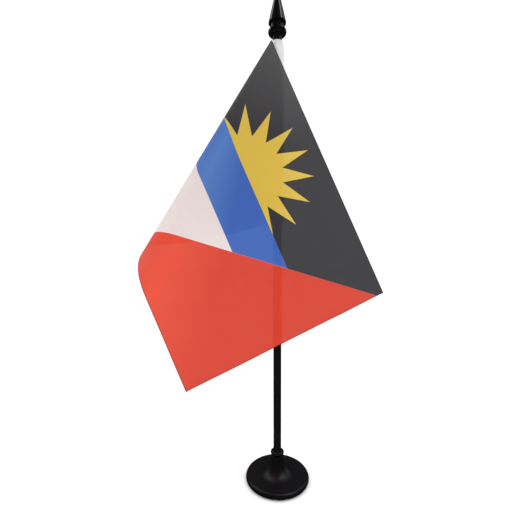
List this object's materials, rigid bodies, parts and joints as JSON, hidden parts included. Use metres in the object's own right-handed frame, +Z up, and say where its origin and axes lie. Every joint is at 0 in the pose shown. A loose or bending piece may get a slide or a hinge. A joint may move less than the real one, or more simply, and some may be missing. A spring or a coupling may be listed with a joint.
{
  "type": "desk flag stand",
  "caption": "Small cloth flag on a plug-in pole with a spear finial and a weighted round base, for a desk or table.",
  "frame": {"origin": "centre of the base's underside, on the desk, on the pole's axis", "axes": "+Z up along the pole, +X to the right and -Y towards a person who faces the flag"},
  "size_m": [0.1587, 0.06, 0.3425],
  "materials": {
    "base_plastic": "black moulded plastic, satin gloss",
    "weight_steel": "plain sheet steel",
    "pad_foam": "black foam pad",
    "pole_plastic": "black moulded plastic, gloss",
    "finial_plastic": "black moulded plastic, high gloss",
    "sleeve_cloth": "white woven polyester",
    "flag_cloth": "thin printed polyester: black, blue, white and red with a yellow sun",
    "thread": "white sewing thread"
  },
  "bodies": {
    "base": {"base_shell": "base_plastic", "base_weight": "weight_steel", "base_pad": "pad_foam"},
    "pole": {"pole": "pole_plastic"},
    "finial": {"finial": "finial_plastic"},
    "sleeve": {"hoist_sleeve": "sleeve_cloth"},
    "flag": {"flag_panel": "flag_cloth", "hoist_stitching": "thread"}
  },
  "joints": [
    {"name": "pole_lift", "type": "slide", "parent": "base", "child": "pole", "axis": [0, 0, 1], "range_m": [0, 0.013]},
    {"name": "finial_pull", "type": "slide", "parent": "pole", "child": "finial", "axis": [0, 0, 1], "range_m": [0, 0.0115]},
    {"name": "sleeve_slide", "type": "slide", "parent": "pole", "child": "sleeve", "axis": [0, 0, 1], "range_m": [-0.06, 0]},
    {"name": "flag_swivel", "type": "hinge", "parent": "sleeve", "child": "flag", "pos_m": [0, 0, 0.3026], "axis": [0, 0, 1], "continuous": true}
  ]
}
